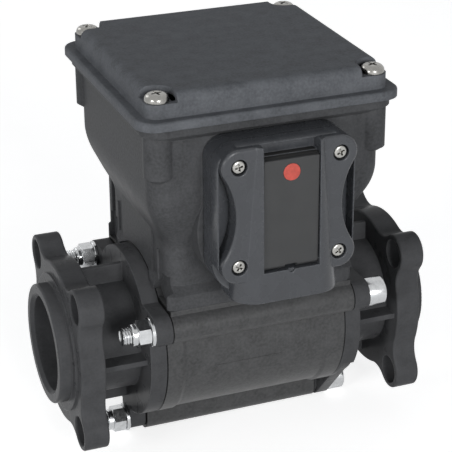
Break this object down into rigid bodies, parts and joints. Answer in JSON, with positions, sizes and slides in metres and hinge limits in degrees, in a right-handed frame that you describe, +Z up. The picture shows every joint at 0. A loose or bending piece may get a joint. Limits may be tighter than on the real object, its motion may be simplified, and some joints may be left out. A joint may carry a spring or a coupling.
{
  "type": "electromagnetic flow meter",
  "caption": "Inline flow meter: lined flow tube clamped by tie screws between lobed pipe flanges, under a square electronics tower with a screwed lid and a hinged service flap.",
  "frame": {"origin": "on the flow axis, midway between the two ring faces that meet the pipes", "axes": "+X along the flow from inlet to outlet, +Z up towards the lid, and the service flap faces -Y"},
  "size_m": [0.1786, 0.1358, 0.1864],
  "materials": {
    "body_plastic": "fine moulded grain",
    "fitting_plastic": "smooth moulded",
    "tower_plastic": "mottled moulded grain",
    "lid_plastic": "mottled moulded grain",
    "cover_plastic": "satin, smooth",
    "flap_plastic": "satin, smooth",
    "liner_plastic": "smooth",
    "socket_plastic": "satin",
    "terminal_plastic": "satin",
    "chip_plastic": "matt",
    "board_laminate": "satin",
    "seal_rubber": "matt",
    "plated_steel": "bright plated",
    "electrode_steel": "polished",
    "core_iron": "oiled",
    "coil_copper": "enamelled copper wire",
    "contact_brass": "gold plated",
    "can_aluminium": "bright",
    "lens_red": "matt red",
    "led_plastic": "clear, diffused"
  },
  "bodies": {
    "meter": {"sensor_body": "body_plastic", "liner_tube": "liner_plastic", "outlet_end_fitting": "fitting_plastic", "inlet_end_fitting": "fitting_plastic", "outlet_end_seal": "seal_rubber", "inlet_end_seal": "seal_rubber", "field_coil_upper": "coil_copper", "field_coil_lower": "coil_copper", "pole_core_upper": "core_iron", "pole_core_lower": "core_iron", "yoke_band": "core_iron", "electrode_front": "electrode_steel", "electrode_rear": "electrode_steel", "electrode_seal_front": "seal_rubber", "electrode_seal_rear": "seal_rubber", "electronics_housing": "tower_plastic", "lid": "lid_plastic", "lid_gasket": "seal_rubber", "cover_base": "cover_plastic", "front_cover": "cover_plastic", "cover_gasket": "seal_rubber", "flap_pin": "plated_steel", "status_led": "led_plastic", "service_socket": "socket_plastic", "contact_pins": "contact_brass", "main_board": "board_laminate", "terminal_block": "terminal_plastic", "board_chips": "chip_plastic", "board_capacitors": "can_aluminium", "board_screws": "plated_steel", "housing_screws": "plated_steel", "tie_screw_1": "plated_steel", "tie_washer_1": "plated_steel", "tie_nut_1": "plated_steel", "tie_screw_2": "plated_steel", "tie_washer_2": "plated_steel", "tie_nut_2": "plated_steel", "tie_screw_3": "plated_steel", "tie_washer_3": "plated_steel", "tie_nut_3": "plated_steel", "lid_screw_1": "plated_steel", "cover_screw_1": "plated_steel", "lid_screw_2": "plated_steel", "cover_screw_2": "plated_steel", "lid_screw_3": "plated_steel", "cover_screw_3": "plated_steel", "lid_screw_4": "plated_steel", "cover_screw_4": "plated_steel"},
    "flap": {"service_flap": "flap_plastic", "indicator_lens": "lens_red"}
  },
  "joints": [
    {"name": "flap_hinge", "type": "hinge", "parent": "meter", "child": "flap", "pos_m": [0, -0.07395, 0.05844], "axis": [1, 0, 0], "range_deg": [0, 90]}
  ]
}
